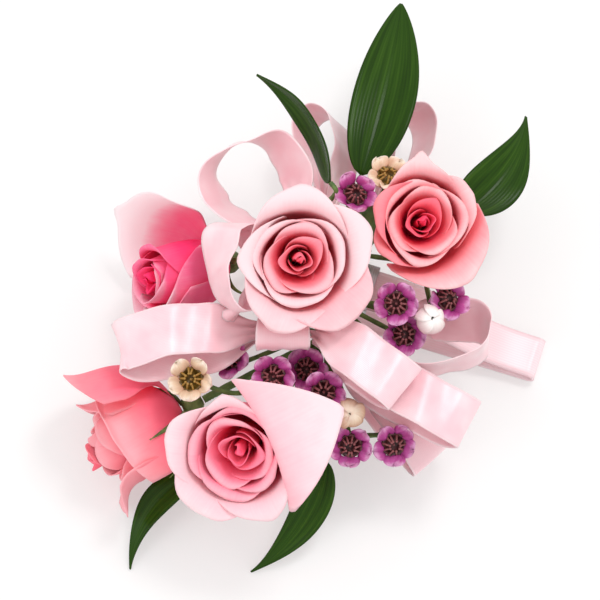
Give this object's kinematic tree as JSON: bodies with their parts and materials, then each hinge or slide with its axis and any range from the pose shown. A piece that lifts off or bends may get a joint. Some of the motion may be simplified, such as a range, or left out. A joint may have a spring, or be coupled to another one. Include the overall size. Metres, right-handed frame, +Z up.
{
  "type": "wrist corsage",
  "caption": "Wrist corsage of pink roses, wax flowers, leaves and satin ribbon loops, wired to a taped stem bundle that a tabbed clip holds on an elastic band.",
  "frame": {"origin": "middle of the flat underside of the flattened wrist band, on the surface it lies on", "axes": "+X along the flattened band towards its free end, +Y along the stem bundle towards the long top leaf, +Z up out of the flowers"},
  "size_m": [0.1353, 0.1917, 0.0712],
  "materials": {
    "petal_pale": "soft satin petal",
    "petal_pink": "soft satin petal",
    "petal_deep": "soft satin petal",
    "calyx_green": "matte leaf green",
    "leaf_green": "glossy waxy leaf",
    "stem_tape": "matte crepe tape over wire",
    "satin_ribbon": "satin",
    "elastic_band": "satin-faced elastic",
    "clip_metal": "plain sheet metal",
    "wax_purple": "waxy petal",
    "wax_cream": "waxy petal",
    "wax_white": "waxy bud"
  },
  "bodies": {
    "corsage": {"clip_sleeve": "clip_metal", "leaf_lower": "leaf_green", "leaf_lower_left": "leaf_green", "leaf_right": "leaf_green", "leaf_top": "leaf_green", "leaf_upper_left": "leaf_green", "ribbon_loop_curl": "satin_ribbon", "ribbon_loop_front_long": "satin_ribbon", "ribbon_loop_front_short": "satin_ribbon", "ribbon_loop_left": "satin_ribbon", "ribbon_loop_lower": "satin_ribbon", "ribbon_loop_right": "satin_ribbon", "ribbon_loop_side": "satin_ribbon", "ribbon_loop_top": "satin_ribbon", "ribbon_loop_top_right": "satin_ribbon", "ribbon_loop_upper_left": "satin_ribbon", "rose_center_calyx": "calyx_green", "rose_center_heart": "petal_deep", "rose_center_inner_petals": "petal_pink", "rose_center_outer_petals": "petal_pale", "rose_lower_calyx": "calyx_green", "rose_lower_heart": "petal_deep", "rose_lower_inner_petals": "petal_pink", "rose_lower_left_calyx": "calyx_green", "rose_lower_left_heart": "petal_deep", "rose_lower_left_inner_petals": "petal_pink", "rose_lower_left_outer_petals": "petal_pale", "rose_lower_outer_petals": "petal_pale", "rose_right_calyx": "calyx_green", "rose_right_heart": "petal_deep", "rose_right_inner_petals": "petal_pink", "rose_right_outer_petals": "petal_pale", "rose_upper_left_calyx": "calyx_green", "rose_upper_left_heart": "petal_deep", "rose_upper_left_inner_petals": "petal_pink", "rose_upper_left_outer_petals": "petal_pale", "taped_stems": "stem_tape", "wax_bud_low": "wax_cream", "wax_bud_right": "wax_white", "wax_flower_front_1": "wax_purple", "wax_flower_front_2": "wax_purple", "wax_flower_front_3": "wax_purple", "wax_flower_left": "wax_purple", "wax_flower_left_cream": "wax_cream", "wax_flower_low_1": "wax_purple", "wax_flower_low_2": "wax_purple", "wax_flower_right_1": "wax_purple", "wax_flower_right_2": "wax_purple", "wax_flower_right_3": "wax_purple", "wax_flower_top": "wax_purple", "wax_flower_top_cream": "wax_cream", "wrist_band": "elastic_band"},
    "tab_right": {"clip_tab_right": "clip_metal"},
    "tab_left": {"clip_tab_left": "clip_metal"}
  },
  "joints": [
    {"name": "tab_right_fold", "type": "hinge", "parent": "corsage", "child": "tab_right", "pos_m": [-0.01325, 0, 0.02185], "axis": [0, 1, 0], "range_deg": [0, 90]},
    {"name": "tab_left_fold", "type": "hinge", "parent": "corsage", "child": "tab_left", "pos_m": [-0.02275, 0, 0.02185], "axis": [0, -1, 0], "range_deg": [0, 90]}
  ]
}
